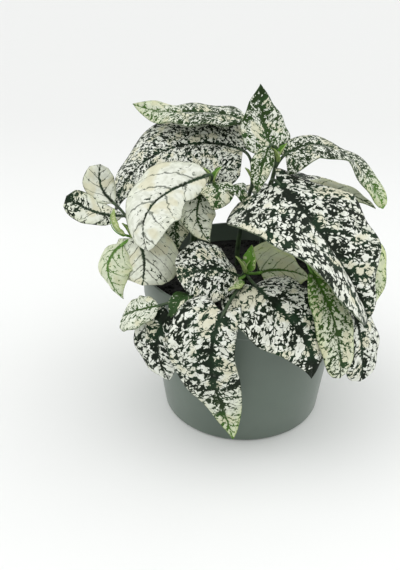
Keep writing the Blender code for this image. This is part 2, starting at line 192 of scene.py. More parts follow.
# Each shoot has its leaves and its stem's points, from the foot in the soil to the growing tip.
SHOOTS = {
    "shoot_top": dict(
        stem=[(8, 4, 60), (8, 4, 84), (10, 3, 112), (14, 0, 138)],
        leaves=[
            leaf([(13, 3, 140), (8, 10, 150), (5, 15, 171)], 27, fold=(12,), curl=-20, base=0.45,
                 skew=(-0.08,), node=0.95, white=(0.57, 0.59, 0.52, 0.3), glow=(0.25, 0.1),
                 grain=1.2),
            leaf([(18, 1, 141), (37, 9, 143), (53, 10, 134), (68, 4, 113)], 23,
                 roll=(-50, -8, 0, -25, -45), fold=(12,), curl=-25, base=0.3, tip=0.5, lobe=0.7,
                 skew=(0.5, 0.0, 0.0), node=0.95,
                 white=(0.5, 0.5, 0.5, 0.75), glow=(0.1, 0.05, 0.1, 1.0),
                 warm=(0.1, 0.1, 0.2, 1.0), grain=1.45),
            leaf([(10, -4, 146), (7, -8, 138), (5, -13, 126)], 12, fold=(20,), curl=-20, node=0.97,
                 white=(0.55,), glow=(0.2,), warm=(0.3,), grain=1.9),
            leaf([(14, -10, 131), (30, -30, 120), (43, -42, 105), (58, -44, 77)], 54,
                 roll=(-30, -14, -2, 0), fold=(-8, 14, 32, 36), curl=-25, base=0.36, tip=0.7,
                 lobe=0.42, skew=(0.62, 0.0, 0.0, 0.3), node=0.8,
                 white=(0.54, 0.56, 0.58, 0.54), grain=0.82),
            leaf([(27, 12, 121), (48, 10, 119), (64, 2, 114)], 15, roll=(-10,), fold=(12,),
                 curl=-20, node=0.7, white=(0.9, 1.0), glow=(0.15,), warm=(0.6,)),
        ],
    ),
    "shoot_back_left": dict(
        stem=[(-4, 16, 60), (-4, 16, 84), (0, 14, 110), (3, 12, 122)],
        leaves=[
            leaf([(-1, 22, 150), (-17, 28, 153), (-40, 32, 152), (-60, 32, 156)], 28,
                 roll=(8, 6, 10, 50), fold=(10,), tip=0.95, node=0.98,
                 white=(0.5, 0.5, 0.85), glow=(0.1, 0.1, 0.6), warm=(0.1, 0.1, 0.7), grain=1.4),
            leaf([(-3, 18, 137), (-24, 22, 139), (-49, 16, 133), (-67, 3, 106)], 51, roll=(34, 16),
                 base=0.4, lobe=0.35, skew=(-0.25, -0.01, -0.03, 0.0, 0.0), node=0.95,
                 white=(0.59,), grain=1.4),
        ],
    ),
    "shoot_mid_left": dict(
        stem=[(-27, 2, 60), (-28, 2, 84), (-26, 2, 103), (-17, -1, 126)],
        leaves=[
            leaf([(-19, -6, 132), (-35, -16, 128), (-46, -30, 121), (-45, -38, 106)], 33,
                 roll=(35, 10, -10), curl=-35, base=0.5, tip=0.5, skew=(0.35, 0.38, -0.1, -0.1),
                 node=0.95, white=(0.97,), warm=(0.2,)),
            leaf([(-21, -4, 124), (-24, -11, 114), (-17, -20, 103)], 21, roll=(20,), fold=(8,),
                 curl=-20, node=0.9, white=(0.8,), glow=(0.12,), warm=(0.4,), grain=1.3),
            leaf([(-30, -5, 118), (-34, -12, 108), (-33, -18, 97)], 18, fold=(10,), curl=-20,
                 node=0.8, white=(0.62,), glow=(0.1,), warm=(0.4,), grain=1.3),
            leaf([(-17, -6, 128), (-14, -12, 126), (-16, -16, 118)], 17, fold=(8,), curl=-20,
                 white=(0.6,), glow=(0.2,), warm=(0.3,), grain=1.4),
            leaf([(-11, -5, 124), (-5, -8, 127), (-1, -11, 119)], 13, fold=(8,), curl=-20,
                 white=(0.55,), glow=(0.2,), grain=1.4),
        ],
    ),
    "shoot_left": dict(
        stem=[(-32, 10, 60), (-34, 8, 84), (-45, -6, 97), (-55, -20, 104)],
        leaves=[
            leaf([(-51, -24, 106), (-48, -31, 99), (-48, -38, 88)], 36, fold=(-10,), base=0.4,
                 tip=0.42, lobe=0.5, node=0.97, heading=185, white=(0.96,), warm=(0.4,)),
            leaf([(-59, -25, 103), (-65, -30, 96), (-58, -36, 79)], 29, fold=(-10,), curl=-40,
                 heading=215, white=(0.86,), glow=(0.6,), warm=(0.6,)),
            leaf([(-60, -14, 113), (-73, -13, 114), (-88, -10, 121)], 15, roll=(35, 35, 70),
                 fold=(10,), curl=-40, tip=0.32, white=(0.7, 0.9, 0.4), warm=(0.2, 0.4)),
            leaf([(-66, -5, 116), (-73, 0, 123), (-73, 3, 133)], 18, fold=(15,), curl=-40, tip=0.45,
                 white=(0.97,), warm=(0.3,)),
            leaf([(-58, -21, 106), (-63, -24, 112), (-62, -24, 121)], 9, fold=(20,), curl=-5,
                 white=(0.6,), glow=(1.0,), warm=(1.0,)),
        ],
    ),
    "shoot_centre": dict(
        stem=[(0, -22, 60), (0, -22, 78), (0, -28, 92)],
        leaves=[
            leaf([(-3, -33, 92), (-17, -39, 98), (-31, -42, 95)], 33, roll=(24, 36, 40), fold=(4,),
                 curl=-25, base=0.5, tip=0.45, node=0.97, white=(0.57,), grain=1.3),
            leaf([(5, -36, 89), (18, -54, 85), (28, -61, 75), (32, -65, 57)], 43,
                 roll=(-4, -14, -4), fold=(0,), curl=-16, base=0.45, tip=1.0, lobe=0.5, node=0.97,
                 white=(0.58, 0.58), grain=0.85),
            leaf([(8, -23, 89), (18, -20, 89), (32, -18, 84)], 42, roll=(-20,), fold=(5,), curl=-20,
                 base=0.3, node=0.97, white=(0.97,), glow=(0.45,), warm=(0.9,)),
            leaf([(-9, -59, 86), (-13, -67, 77), (-13, -68, 59), (-3, -64, 19)], 31, fold=(6,),
                 base=0.3, tip=0.85, lobe=0.6, skew=(0.35, 0.3, -0.05, -0.4), heading=180, node=0.8,
                 white=(0.6, 0.58, 0.58, 0.66, 0.85), glow=(0.0, 0.0, 0.0, 0.1, 0.8),
                 warm=(0.0, 0.1, 0.1, 0.3, 1.0), grain=0.9),
            leaf([(2, -29, 93), (3, -29, 98), (3, -28, 106)], 9, fold=(20,), curl=-5,
                 white=(0.4,), glow=(1.0,), warm=(0.9,)),
            leaf([(-2, -34, 91), (-7, -38, 90), (-12, -43, 88)], 17, fold=(15,), curl=-5,
                 white=(0.6,), glow=(1.0,), warm=(1.0,)),
        ],
    ),
    "shoot_front_left": dict(
        stem=[(-18, -28, 60), (-18, -28, 78), (-21, -36, 89)],
        leaves=[
            leaf([(-34, -51, 80), (-39, -55, 72), (-39, -57, 62), (-34, -58, 48)], 26, base=0.5,
                 tip=0.8, lobe=0.3, heading=200, white=(0.5, 0.6, 0.8)),
            leaf([(-39, -50, 84), (-49, -50, 81), (-57, -45, 75)], 20, roll=(24,), base=0.5,
                 tip=0.35, white=(0.8, 0.72), glow=(0.25,), warm=(0.2,), grain=1.3),
            leaf([(-25, -44, 87), (-30, -50, 86), (-33, -54, 80)], 10, fold=(15,), curl=-5,
                 white=(0.35,), glow=(0.15,)),
        ],
    ),
    "shoot_right": dict(
        stem=[(34, -6, 60), (34, -6, 84), (36, -14, 100)],
        leaves=[
            leaf([(31, -36, 97), (40, -51, 84), (46, -58, 53)], 21, tip=0.5,
                 white=(0.5, 0.66, 0.72), glow=(0.8, 0.25, 0.05), warm=(0.7, 0.5), grain=1.2),
            leaf([(47, -36, 86), (55, -46, 69), (57, -50, 46)], 24, tip=0.45, node=0.9,
                 white=(0.68,)),
            leaf([(48, -4, 106), (56, -12, 99), (61, -24, 66)], 28, white=(0.7,), glow=(0.5,),
                 warm=(0.8,)),
            leaf([(30, -24, 102), (40, -36, 98), (48, -45, 87)], 16, white=(0.5,), glow=(1.0,),
                 warm=(0.9,)),
        ],
    ),
    "shoot_rear_right": dict(
        stem=[(16, 30, 60), (16, 30, 84), (20, 34, 112)],
        leaves=[
            leaf([(24, 40, 112), (34, 58, 110), (44, 76, 90)], 34, node=0.97),
            leaf([(14, 42, 105), (13, 58, 104), (12, 78, 84)], 30, node=0.9, white=(0.6,)),
            leaf([(30, 34, 106), (46, 43, 104), (56, 51, 82)], 30, node=0.97, white=(0.5,)),
            leaf([(33, 24, 95), (46, 27, 95), (57, 29, 72)], 26, node=0.7, white=(0.9,),
                 warm=(0.3,)),
            leaf([(22, 42, 94), (29, 54, 94), (36, 66, 72)], 26, node=0.7),
        ],
    ),
    "shoot_rear_left": dict(
        stem=[(-28, 30, 60), (-28, 30, 84), (-33, 34, 110)],
        leaves=[
            leaf([(-38, 42, 110), (-46, 55, 109), (-54, 68, 88)], 30, node=0.97, white=(0.55,)),
            leaf([(-32, 44, 102), (-30, 60, 101), (-30, 76, 81)], 28, node=0.9, white=(0.93,),
                 warm=(0.25,)),
            leaf([(-43, 35, 99), (-55, 38, 97), (-65, 41, 78)], 28, node=0.97),
            leaf([(-39, 34, 88), (-51, 42, 85), (-59, 50, 60)], 24, node=0.7, white=(0.6,)),
            leaf([(-28, 43, 87), (-32, 56, 86), (-37, 66, 60)], 24, node=0.6, white=(0.48,)),
        ],
    ),
}


class PotSettings(bpy.types.PropertyGroup):
    rim_radius: FloatProperty(name="Rim radius", description="Outer radius of the rim",
                              default=POT_HIGH.x, unit="LENGTH")
    height: FloatProperty(name="Height", description="From the base to the rim",
                          default=POT_HIGH.z, unit="LENGTH")
    base_radius: FloatProperty(name="Base radius", description="Outer radius at the base",
                               default=0.0424, unit="LENGTH")
    collar_height: FloatProperty(name="Collar height", default=0.015, unit="LENGTH",
                                 description="Height of the band under the rim")
    collar_step: FloatProperty(name="Collar step", description="How far the collar stands out",
                               default=0.0014, unit="LENGTH")
    wall: FloatProperty(name="Wall", description="Thickness of the wall", default=0.0013,
                        unit="LENGTH")
    colour: FloatVectorProperty(name="Plastic", description="Colour of the pot", subtype="COLOR",
                                default=(0.096, 0.127, 0.102), min=0, max=1)


class SoilSettings(bpy.types.PropertyGroup):
    grains: IntProperty(name="Grains", description="How many crumbs lie on the soil", default=900)
    grain_size: FloatProperty(name="Grain size", description="Mean radius of a crumb",
                              default=0.0011, unit="LENGTH")
    colour: FloatVectorProperty(name="Soil", description="Colour of the moist soil",
                                subtype="COLOR", default=(0.0016, 0.0014, 0.0011), min=0, max=1)


class LeafSettings(bpy.types.PropertyGroup):
    thickness: FloatProperty(name="Thickness", description="Thickness of a blade",
                             default=0.0005, unit="LENGTH")
    quilting: FloatProperty(name="Quilting", description="How far a field between two veins bulges",
                            default=0.0004, unit="LENGTH")
    stem_radius: FloatProperty(name="Stem radius", description="Radius of a stem at its foot",
                               default=0.0015, unit="LENGTH")
    petiole_radius: FloatProperty(name="Petiole radius", description="Radius of a leaf's stalk",
                                  default=0.00075, unit="LENGTH")
    splash: FloatVectorProperty(name="Splash", description="Colour of the blotches",
                                subtype="COLOR", default=(0.745, 0.765, 0.71), min=0, max=1)
    warm_splash: FloatVectorProperty(name="Warm splash", description="Colour of yellowish blotches",
                                     subtype="COLOR", default=(0.56, 0.62, 0.31), min=0, max=1)
    green: FloatVectorProperty(name="Green", description="Colour of the blade between the blotches",
                               subtype="COLOR", default=(0.0034, 0.0085, 0.0028), min=0, max=1)
    fresh_green: FloatVectorProperty(name="Fresh green", description="Colour of young leaves",
                                     subtype="COLOR", default=(0.100, 0.235, 0.028), min=0, max=1)


class StageSettings(bpy.types.PropertyGroup):
    floor_size: FloatProperty(name="Floor size", description="Side of the floor", default=40.0,
                              unit="LENGTH")
    floor_colour: FloatVectorProperty(name="Floor", description="Colour of the floor",
                                      subtype="COLOR", default=(0.83, 0.84, 0.83), min=0, max=1)
    camera_distance: FloatProperty(name="Camera distance", description="From the pot's axis, level",
                                   default=0.3462, unit="LENGTH")
    camera_height: FloatProperty(name="Camera height", description="Above the floor",
                                 default=0.2547, unit="LENGTH")
    camera_pitch: FloatProperty(name="Camera pitch", description="How far it looks down",
                                default=math.radians(28.2), unit="ROTATION")
    camera_yaw: FloatProperty(name="Camera turn", default=math.radians(3.84), unit="ROTATION",
                              description="How far it looks past the pot's axis")
    lens: FloatProperty(name="Lens", description="Focal length in millimetres", default=47.0)
    daylight: FloatProperty(name="Daylight", description="Strength of the light from all round",
                            default=0.785)


class Value:
    """A value in a material's nodes, with Python's operators."""

    def __init__(self, finish, socket):
        self.finish = finish
        self.socket = socket

    def math(self, operation, other=None):
        return self.finish.node("ShaderNodeMath", {"operation": operation}, {0: self, 1: other})

    def __add__(self, other):
        return self.math("ADD", other)

    __radd__ = __add__

    def __sub__(self, other):
        return self.math("SUBTRACT", other)

    def __rsub__(self, other):
        return self.finish.node("ShaderNodeMath", {"operation": "SUBTRACT"}, {0: other, 1: self})

    def __mul__(self, other):
        return self.math("MULTIPLY", other)

    __rmul__ = __mul__

    def __truediv__(self, other):
        return self.math("DIVIDE", other)

    def __abs__(self):
        return self.math("ABSOLUTE")

    def above(self, edge):
        """1 where the value is greater than the edge, or else 0."""
        return self.math("GREATER_THAN", edge)

    def at_least(self, low):
        return self.math("MAXIMUM", low)

    def fraction(self):
        return self.math("FRACT")

    def step(self, low, high):
        """A smooth step from 0 at low to 1 at high."""
        return self.finish.node("ShaderNodeMapRange", {"interpolation_type": "SMOOTHSTEP"},
                                {"Value": self, "From Min": low, "From Max": high})


class Finish:
    """A material and the one method that adds a node to it."""

    def __init__(self, name):
        self.material = bpy.data.materials.new(name)
        self.material.use_nodes = True
        self.nodes = self.material.node_tree.nodes
        self.links = self.material.node_tree.links
        self.shader = self.nodes["Principled BSDF"]

    def fill(self, sockets, key, value):
        """Links a value to a socket or sets a constant, where a colour may have three parts."""
        if value is None:
            return
        if isinstance(value, Value):
            self.links.new(value.socket, sockets[key])
        elif isinstance(value, (int, float)):
            sockets[key].default_value = value
        elif len(sockets[key].default_value) == 4:
            sockets[key].default_value = (*value, 1.0)
        else:
            sockets[key].default_value = value

    def node(self, kind, settings=None, inputs=None, output=0):
        """Adds a node of any kind and gives one of its outputs."""
        made = self.nodes.new(kind)
        for name, value in (settings or {}).items():
            setattr(made, name, value)
        for key, value in (inputs or {}).items():
            self.fill(made.inputs, key, value)
        return Value(self, made.outputs[output])

    def set(self, **inputs):
        """Sets the Principled shader's sockets, named with underscores for spaces."""
        for key, value in inputs.items():
            self.fill(self.shader.inputs, key.replace("_", " "), value)

    def attribute(self, name):
        """A vector that the mesh holds for each of its points."""
        return self.node("ShaderNodeAttribute", {"attribute_name": name}, output="Vector")

    def parts(self, vector):
        """The three numbers of a vector."""
        split = self.nodes.new("ShaderNodeSeparateXYZ")
        self.links.new(vector.socket, split.inputs[0])
        return tuple(Value(self, split.outputs[i]) for i in range(3))

    def place(self):
        """The place on the piece, in metres."""
        return self.node("ShaderNodeTexCoord", output="Object")

    def noise(self, vector, scale, detail=2.0, roughness=0.5):
        return self.node("ShaderNodeTexNoise", {"noise_dimensions": "3D"},
                         {"Vector": vector, "Scale": scale, "Detail": detail,
                          "Roughness": roughness})

    def blend(self, share, first, second):
        """A colour between two colours."""
        mix = self.nodes.new("ShaderNodeMix")
        mix.data_type = "RGBA"
        self.fill(mix.inputs, 0, share)
        self.fill(mix.inputs, 6, first)
        self.fill(mix.inputs, 7, second)
        return Value(self, mix.outputs[2])

    def bump(self, height, strength, distance):
        return self.node("ShaderNodeBump", None,
                         {"Height": height, "Strength": strength, "Distance": distance})


def scaled(colour, factor):
    """A colour made lighter or darker."""
    return [part * factor for part in colour]


def splashed_leaf(look, name, upper):
    """The blade's green with white blotches, dark veins and a dark edge line."""
    finish = Finish(name)
    place = finish.attribute("place")
    across_mm, along_mm, seed = finish.parts(place)
    across, along, vein_phase = finish.parts(finish.attribute("span"))
    white, glow, warm = finish.parts(finish.attribute("tone"))
    out = abs(across)
    reach = abs(across_mm)
    right = across_mm.above(0.0)
    fine = finish.noise(place, 0.9, roughness=0.6)
    tone_and_light_drift = finish.noise(place, 0.10, detail=1.0)
    wander = finish.noise(place, 0.35)
    jitter = fine - 0.5
    sway = wander - 0.5

    # The dark lines along the side veins, the midrib and the edge. Each is 1 on its line.
    turn = (vein_phase + right * VEIN_OFFSET + sway * 0.4 + 0.5).fraction()
    from_vein = abs(turn - 0.5) + jitter * 0.12
    vein_width = (1.15 - out) * (0.055 + white.step(0.75, 0.95) * 0.035)
    vein = 1 - from_vein.step(vein_width * 0.4, vein_width)
    from_midrib = reach + jitter * 1.8
    midrib = 1 - from_midrib.step((1 - along) * 0.5 + 0.15, (1 - along) * 1.1 + 0.5)
    from_edge = reach * (1 - out) / out.at_least(0.1)
    edge = 1 - (from_edge + jitter * 1.2).step(0.05, 0.45)

    # The blotches are cells, drawn out a little along the side veins. They are white where the
    # height is above 0, with a grey-green fringe just under it.
    lie = finish.node("ShaderNodeCombineXYZ", None, {
        0: (reach * (BLOTCH_STRETCH * VEIN_OUTWARD) + along_mm * (BLOTCH_STRETCH * VEIN_FORWARD)
            + wander * 3.5),
        1: along_mm * VEIN_OUTWARD - reach * VEIN_FORWARD + fine * 1.4,
        2: seed + right * HALF_STEP})
    cell = {"Vector": lie, "Scale": BLOTCH_SCALE}
    rim = finish.node("ShaderNodeTexVoronoi", {"feature": "DISTANCE_TO_EDGE"}, cell)
    chance = finish.parts(finish.node("ShaderNodeTexVoronoi", {"feature": "F1"}, cell, "Color"))[0]
    blob = finish.noise(lie, 0.5, detail=1.0)
    near_midrib = 1 - (reach + sway * 5.0).step(0.5, 3.0)
    cover = white - near_midrib * 0.26 * (1.3 - white) + (tone_and_light_drift - 0.5) * 0.42
    height = (rim * 1.7 - 0.32 + (chance - 0.5) * 0.6 + (blob - 0.5) * 2.2 + jitter * 0.5
              + (cover - 0.5) * 1.6)
    splash = height.step(-0.03, 0.06) * (1 - vein * (1 - white.step(0.8, 1.0) * 0.3))
    splash = splash * (1 - midrib) * (1 - edge * 0.8)
    fringe = height.step(-0.14, 0.02) * (1 - vein * 0.85) * (1 - midrib * 0.9) * (1 - edge * 0.6)

    # Painted light: broad random patches of LIT_GREEN lighten the green as if lit; the same drift
    # also varies the white and cream.
    green = finish.blend(tone_and_light_drift.step(0.4, 0.62), look.green, LIT_GREEN)
    green = finish.blend(glow, green, look.fresh_green)
    pale = finish.blend(warm * (0.55 + out.step(0.45, 1.0) * 0.75), look.splash, look.warm_splash)
    pale = finish.blend(wander.step(0.42, 0.62) * 0.5, pale, GREY_CREAM)
    pale = finish.blend(tone_and_light_drift.step(0.52, 0.64) * 0.6, pale, YELLOW_CREAM)
    pale = finish.blend(glow * 0.5, pale, YOUNG_CREAM)
    colour = finish.blend(fringe * 0.7, green, finish.blend(warm, FRINGE, WARM_FRINGE))
    colour = finish.blend(splash, colour, pale)
    if not upper:
        colour = finish.blend(0.45, colour, finish.blend(glow, UNDERSIDE, YOUNG_UNDERSIDE))
    relief = rim * 0.4 + fine * 0.4 - vein * 0.5 - midrib * 0.6
    finish.set(Base_Color=colour, Roughness=0.45 + fine * 0.16, Specular_IOR_Level=0.15,
               Normal=finish.bump(relief, 0.5, 0.0003))
    return finish.material


def stem_skin(name, dark, light):
    """The mottled green of a stem, and its mottle."""
    finish = Finish(name)
    mottle = finish.noise(finish.place(), 300.0)
    finish.set(Base_Color=finish.blend(mottle.step(0.35, 0.7), dark, light),
               Roughness=0.45 + mottle * 0.2)
    return finish, mottle


def green_stem():
    finish, mottle = stem_skin("green_stem", DARK_STEM, LIGHT_STEM)
    finish.set(Normal=finish.bump(mottle, 0.3, 0.0002))
    return finish.material


def fresh_stem(look):
    finish, _ = stem_skin("fresh_stem", look.fresh_green, scaled(look.fresh_green, 1.5))
    return finish.material


def pot_plastic(look):
    """Matte moulded plastic with a faint grain, flow streaks and a little dust low down."""
    finish = Finish("pot_plastic")
    place = finish.place()
    grain = finish.noise(place, 900.0, 3.0, 0.6)
    cloud = finish.noise(place, 28.0, 3.0, 0.6)
    drawn_down = finish.node("ShaderNodeMapping", None,
                             {"Vector": place, "Scale": (160.0, 160.0, 9.0)})
    streaks = finish.noise(drawn_down, 1.0)
    low = 1 - finish.parts(place)[2].step(0.0, 0.03)
    dust = low * cloud.step(0.4, 0.75)
    colour = finish.blend(cloud.step(0.3, 0.7), look.colour, scaled(look.colour, 1.12))
    colour = finish.blend(streaks.step(0.45, 0.8) * 0.10, colour, scaled(look.colour, 1.5))
    colour = finish.blend(dust * 0.10, colour, DUST)
    finish.set(Base_Color=colour, Roughness=0.40 + grain * 0.12 + streaks * 0.06,
               Sheen_Weight=0.22, Sheen_Roughness=0.4, Normal=finish.bump(grain, 0.25, 0.0001))
    return finish.material


def potting_soil(look):
    """Dark, moist crumbs with brown patches of bark."""
    finish = Finish("potting_soil")
    place = finish.place()
    crumbs = finish.noise(place, 420.0, 4.0, 0.65)
    patches = finish.noise(place, 120.0)
    colour = finish.blend(crumbs.step(0.35, 0.75), look.colour, scaled(look.colour, 3.0))
    colour = finish.blend(patches.step(0.62, 0.75) * 0.5, colour, BARK)
    finish.set(Base_Color=colour, Roughness=0.75 + crumbs * 0.2,
               Normal=finish.bump(crumbs, 0.8, 0.0008))
    return finish.material


def pale_floor(look):
    """A plain floor whose colour darkens a little far behind the plant, as painted shade."""
    finish = Finish("pale_floor")
    place = finish.place()
    # Painted shade: the colour darkens with distance to stand for the dimmer light far back.
    far = finish.parts(place)[1].step(-0.05, 0.6)
    colour = finish.blend(far, look.floor_colour, scaled(look.floor_colour, 0.85))
    finish.set(Base_Color=colour, Roughness=0.55 + finish.noise(place, 60.0) * 0.1)
    return finish.material


def mixed(values, share):
    """The value at this share of the way along an evenly spaced list."""
    place = share * (len(values) - 1)
    low = min(int(place), max(len(values) - 2, 0))
    high = min(low + 1, len(values) - 1)
    return values[low] + (values[high] - values[low]) * (place - low)


class Path:
    """The smooth curve through a few points, read by the share of its length."""

    SAMPLES = 120
    NUDGE = 0.01

    def __init__(self, points):
        self.points = [Vector(p) for p in points]
        reach = [0.0]
        for before, after in zip(self.points, self.points[1:]):
            reach.append(reach[-1] + (after - before).length)
        self.knots = [r / reach[-1] for r in reach]
        self.fine = [self.raw(i / self.SAMPLES) for i in range(self.SAMPLES + 1)]
        self.arc = [0.0]
        for before, after in zip(self.fine, self.fine[1:]):
            self.arc.append(self.arc[-1] + (after - before).length)
        self.length = self.arc[-1]

    def raw(self, knot):
        """The polynomial through the points, at a knot value from 0 to 1."""
        total = Vector((0, 0, 0))
        for i, point in enumerate(self.points):
            weight = 1.0
            for j, other in enumerate(self.knots):
                if j != i:
                    weight *= (knot - other) / (self.knots[i] - other)
            total += point * weight
        return total

    def at(self, share):
        """The point at a share of the length."""
        wanted = share * self.length
        i = 0
        while i < self.SAMPLES - 1 and self.arc[i + 1] < wanted:
            i += 1
        span = self.arc[i + 1] - self.arc[i]
        return self.fine[i].lerp(self.fine[i + 1], (wanted - self.arc[i]) / span)

    def tangent(self, share):
        before = self.at(max(share - self.NUDGE, 0.0))
        after = self.at(min(share + self.NUDGE, 1.0))
        return (after - before).normalized()


def half_width(share, row):
    """Half the blade's width at this share of its length, for an ovate outline with a point."""
    peak = row["base"] / (row["base"] + row["tip"])
    tallest = peak ** row["base"] * (1 - peak) ** row["tip"]
    here = share ** row["base"] * (1 - share) ** row["tip"]
    return row["width"] / 2 * here / tallest


def blade_side(row):
    """The level direction to the leaf's right, seen from its base."""
    if row["heading"] is None:
        ahead = Vector(row["midrib"][-1]) - Vector(row["midrib"][0])
    else:
        turn = math.radians(row["heading"])
        ahead = Vector((math.sin(turn), math.cos(turn), 0))
    return Vector((ahead.y, -ahead.x, 0)).normalized()


class Blade:
    """A leaf's surface, read by the share of its length and -1 to 1 across it."""

    def __init__(self, row, phase, seed, look):
        self.row = row
        self.path = Path(row["midrib"])
        self.side = blade_side(row)
        self.phase = phase
        self.seed = seed
        self.spacing = min(max(self.path.length / VEIN_PAIRS, CLOSEST_VEINS), WIDEST_VEINS)
        self.quilting = look.quilting / MM * min(1.0, self.path.length / FULL_QUILTING)

    def frames(self, share):
        """The directions along the midrib, to its right and up."""
        along = self.path.tangent(share)
        right = (self.side - along * self.side.dot(along)).normalized()
        up = right.cross(along)
        roll = math.radians(mixed(self.row["roll"], share))
        right = right * math.cos(roll) + up * math.sin(roll)
        return along, right, right.cross(along)

    def point(self, share, across):
        """The place on the smooth blade, its direction up there, and the reach of edge and lobe."""
        row = self.row
        along, right, up = self.frames(share)
        fold = math.radians(mixed(row["fold"], share))
        curl = math.radians(row["curl"])
        out = abs(across)
        hand = math.copysign(1, across)
        half = half_width(share, row)
        edge = half * (1 + mixed(row["skew"], share) * hand)
        level = (math.sin(fold + curl * out) - math.sin(fold)) / curl * hand
        lift = (math.cos(fold) - math.cos(fold + curl * out)) / curl
        fade = min(1.0, half / (row["width"] / 4))
        wave = row["width"] * WAVE_HEIGHT * out ** 2 * fade
        ripple = wave * math.sin(2 * math.pi * EDGE_WAVES * share + self.phase + hand)
        back = row["lobe"] * row["width"] / 2 * out ** 1.5 * (1 - share) ** 4 * fade
        place = self.path.at(share) + right * level * edge + up * (lift * edge + ripple)
        slope = fold + curl * out
        normal = up * math.cos(slope) - right * math.sin(slope) * hand
        return place - along * back, normal, edge, back

    def vein_phase(self, across_mm, along_mm):
        """Counts the side veins from the base: a whole number lies on a vein."""
        out = abs(across_mm)
        return (along_mm - VEIN_SLOPE * out - VEIN_ARC * out ** 2) / self.spacing

    def add(self, bm):
        """Adds the blade to a mesh with the numbers that its finish reads."""
        length = self.path.length
        wide = max(8, int(self.row["width"] / FACE_SIZE))
        long = max(12, int(length / FACE_SIZE))
        grain = self.row["grain"]
        made = bmesh.ops.create_grid(bm, x_segments=wide, y_segments=long, size=1.0)
        place = bm.verts.layers.float_vector["place"]
        span = bm.verts.layers.float_vector["span"]
        tone = bm.verts.layers.float_vector["tone"]
        for vert in made["verts"]:
            across = vert.co.x
            share = (vert.co.y + 1) / 2
            spot, normal, edge, back = self.point(share, across)
            across_mm = across * edge
            along_mm = share * length - back
            phase = self.vein_phase(across_mm, along_mm)
            turn = phase + (VEIN_OFFSET if across > 0 else 0.0)
            field = abs(math.sin(math.pi * turn)) ** FIELD_SHAPE
            rim = 1 - abs(across) ** 4
            groove = math.exp(-(across_mm / GROOVE_WIDTH) ** 2)
            bulge = self.quilting * (field * rim * (1 - groove) - groove * GROOVE_DEPTH)
            vert.co = (spot + normal * bulge) * MM
            vert[place] = (across_mm * grain, along_mm * grain, self.seed * BLADE_STEP)
            vert[span] = (across, share, phase)
            vert[tone] = tuple(mixed(self.row[key], share) for key in ("white", "glow", "warm"))
        bmesh.ops.remove_doubles(bm, verts=made["verts"], dist=MERGE)


def petiole_start(path, node, order):
    """A place inside the stem, a little lower for each next leaf."""
    return path.at(min(node, HIGHEST_NODE) - NODE_STEP * order)


def petiole_points(row, start):
    """A stalk from the stem that runs into the leaf along its midrib."""
    path = Path(row["midrib"])
    base = path.at(0.0)
    along = path.tangent(0.0)
    bend = base - along * (base - start).length * PETIOLE_BEND
    points = []
    for i in range(STALK_STEPS + 1):
        t = i / STALK_STEPS
        points.append(start * (1 - t) ** 2 + bend * 2 * t * (1 - t) + base * t ** 2)
    return points


def bud_rows(path):
    """The pair of small upright leaves at a growing tip."""
    top = path.at(1.0)
    rows = []
    for hand in (-1, 1):
        lean = Vector((hand * 0.35, 0.12 * hand, 1.0)).normalized()
        base = top - Vector((0, 0, 1))
        tip = base + lean * BUD_LENGTH + Vector((hand, 0, 0))
        rows.append(leaf([base, base + lean * BUD_LENGTH * 0.5, tip], BUD_WIDTH, fold=(30,),
                         curl=-5, white=(0.1,), glow=(1.0,), warm=(0.5,)))
    return rows


def add_tube(bm, points, radii, slot):
    """Adds a closed round tube through the points, in millimetres, to a mesh."""
    curve = bpy.data.curves.new("tube", "CURVE")
    curve.dimensions = "3D"
    curve.bevel_depth = MM
    curve.bevel_resolution = TUBE_ROUNDNESS
    curve.use_fill_caps = True
    spline = curve.splines.new("POLY")
    spline.points.add(len(points) - 1)
    for spot, place, radius in zip(spline.points, points, radii):
        spot.co = (*(place * MM), 1.0)
        spot.radius = radius
    guide = bpy.data.objects.new("tube", curve)
    bpy.context.scene.collection.objects.link(guide)
    view = bpy.context.evaluated_depsgraph_get()
    mesh = bpy.data.meshes.new_from_object(guide.evaluated_get(view))
    old_faces = len(bm.faces)
    old_verts = len(bm.verts)
    bm.from_mesh(mesh)
    bm.faces.ensure_lookup_table()
    for face in bm.faces[old_faces:]:
        face.material_index = slot
        face.smooth = True
    bm.verts.ensure_lookup_table()
    bmesh.ops.remove_doubles(bm, verts=bm.verts[old_verts:], dist=MERGE)
    bpy.data.objects.remove(guide)
    bpy.data.meshes.remove(mesh)


def piece_from(bm, name, materials, smooth=True):
    """A finished piece at the origin from a mesh that holds its place."""
    mesh = bpy.data.meshes.new(name)
    bm.to_mesh(mesh)
    bm.free()
    for material in materials:
        mesh.materials.append(material)
    if smooth:
        mesh.shade_smooth()
    piece = bpy.data.objects.new(name, mesh)
    bpy.context.scene.collection.objects.link(piece)
    return piece


def settle(piece, node):
    """Lets a piece ride on the plant's body in place of a CAD node."""
    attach(piece, "root")
    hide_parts(node)


